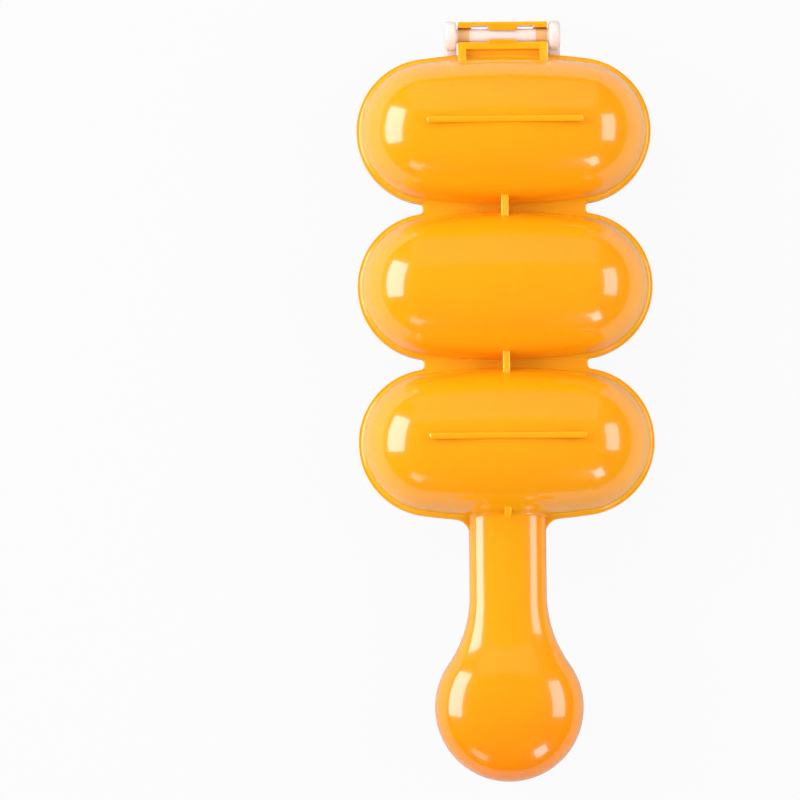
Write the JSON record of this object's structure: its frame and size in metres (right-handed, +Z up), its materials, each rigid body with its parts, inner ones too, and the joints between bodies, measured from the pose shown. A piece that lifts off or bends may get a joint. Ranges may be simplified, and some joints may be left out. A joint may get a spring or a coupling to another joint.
{
  "type": "sushi rice mold press",
  "caption": "Rattle-shaped hinged rice mould: two half shells with barrel-shaped cups and a hollow ball-ended handle, shaken to roll rice balls.",
  "frame": {"origin": "middle of the closed mould's bounding box at its base, where the foot ribs stand", "axes": "+Y from the ball of the handle to the hinge, +X along the barrels, +Z up, across the seam from the lower to the upper shell"},
  "size_m": [0.0952, 0.2456, 0.0501],
  "materials": {
    "clear_plastic": "milky see-through polypropylene, smooth and glossy",
    "orange_plastic": "glossy warm orange polypropylene, slightly see-through at thin edges"
  },
  "bodies": {
    "lower": {"lower_shell": "clear_plastic"},
    "upper": {"upper_shell": "orange_plastic"}
  },
  "joints": [
    {"name": "hinge", "type": "hinge", "parent": "lower", "child": "upper", "pos_m": [0, 0.118, 0.02505], "axis": [-1, 0, 0], "range_deg": [0, 180]}
  ]
}
